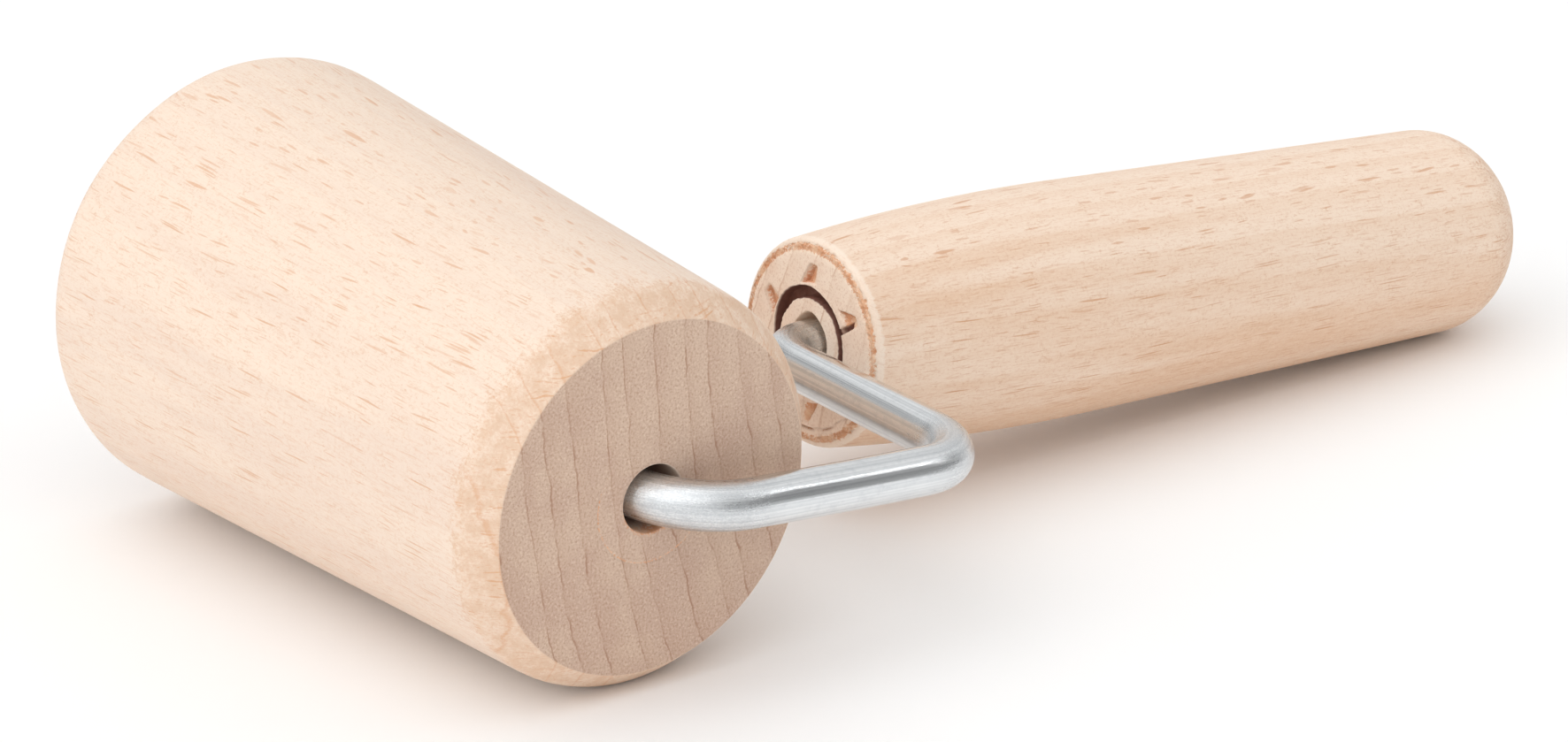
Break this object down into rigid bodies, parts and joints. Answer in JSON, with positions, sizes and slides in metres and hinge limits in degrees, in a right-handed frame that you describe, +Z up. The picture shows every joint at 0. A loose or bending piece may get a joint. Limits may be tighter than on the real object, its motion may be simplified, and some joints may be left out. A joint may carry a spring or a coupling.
{
  "type": "dough roller",
  "caption": "One-handed dough roller: a tapered beech roller turning on a bent galvanised steel wire arm, with a turned beech handle set in line with the push.",
  "frame": {"origin": "on the table under the middle of the tool's box, as it lies on the roller's side and the handle's tip", "axes": "+Z up from the table; +Y from the roller towards the handle's tip; +X towards the roller's narrow end, where the wire comes out"},
  "size_m": [0.0979, 0.2012, 0.0578],
  "materials": {
    "roller_beech": "fine-turned, unfinished",
    "handle_beech": "fine-turned, unfinished",
    "zinc_wire": "drawn and galvanised, satin",
    "cap_steel": "pressed, zinc plated"
  },
  "bodies": {
    "hand_frame": {"arm": "zinc_wire", "handle": "handle_beech", "washer": "cap_steel", "retaining_cap": "cap_steel"},
    "roller_body": {"roller": "roller_beech"}
  },
  "joints": [
    {"name": "roller_spin", "type": "hinge", "parent": "hand_frame", "child": "roller_body", "pos_m": [-0.00372, -0.07162, 0.02697], "axis": [0.9988, 0, -0.0496], "continuous": true}
  ]
}
